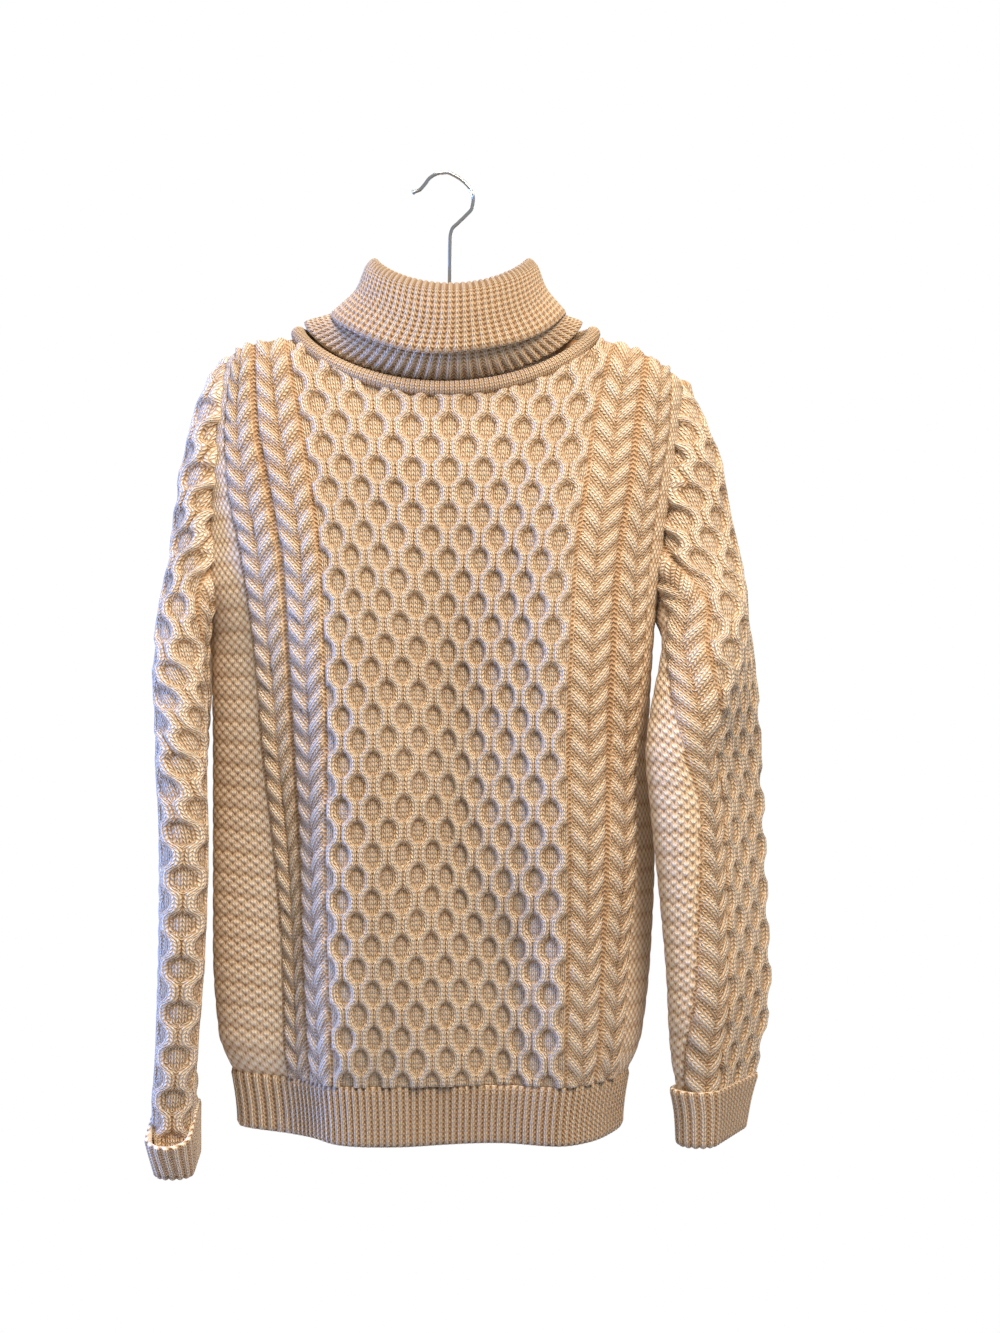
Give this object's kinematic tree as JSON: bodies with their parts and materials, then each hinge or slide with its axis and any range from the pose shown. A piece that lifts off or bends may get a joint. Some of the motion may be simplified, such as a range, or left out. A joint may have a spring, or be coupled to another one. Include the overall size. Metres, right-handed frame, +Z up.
{
  "type": "cable knit turtleneck sweater on a hanger",
  "caption": "Long-sleeved knitted turtleneck hung flat on a wire-hook hanger, with a honeycomb panel, chevron cables, ribbed hem and cuffs, and a turned-down ribbed collar.",
  "frame": {"origin": "top of the hook's curve, where the hanger hangs from a rail", "axes": "+Z up along the hung garment, +X to the viewer's right across the front, +Y from the front to the back"},
  "size_m": [0.5339, 0.1898, 0.8143],
  "materials": {
    "wool": "soft ecru wool knit",
    "steel": "polished wire",
    "hanger_wood": "plain satin wood"
  },
  "bodies": {
    "root": {"front": "wool", "back": "wool", "sleeve_left": "wool", "sleeve_right": "wool", "hem_front": "wool", "hem_back": "wool", "cuff_left": "wool", "cuff_right": "wool", "collar": "wool", "neck_welt": "wool", "hook": "steel", "shoulder_bar": "hanger_wood"}
  },
  "joints": []
}
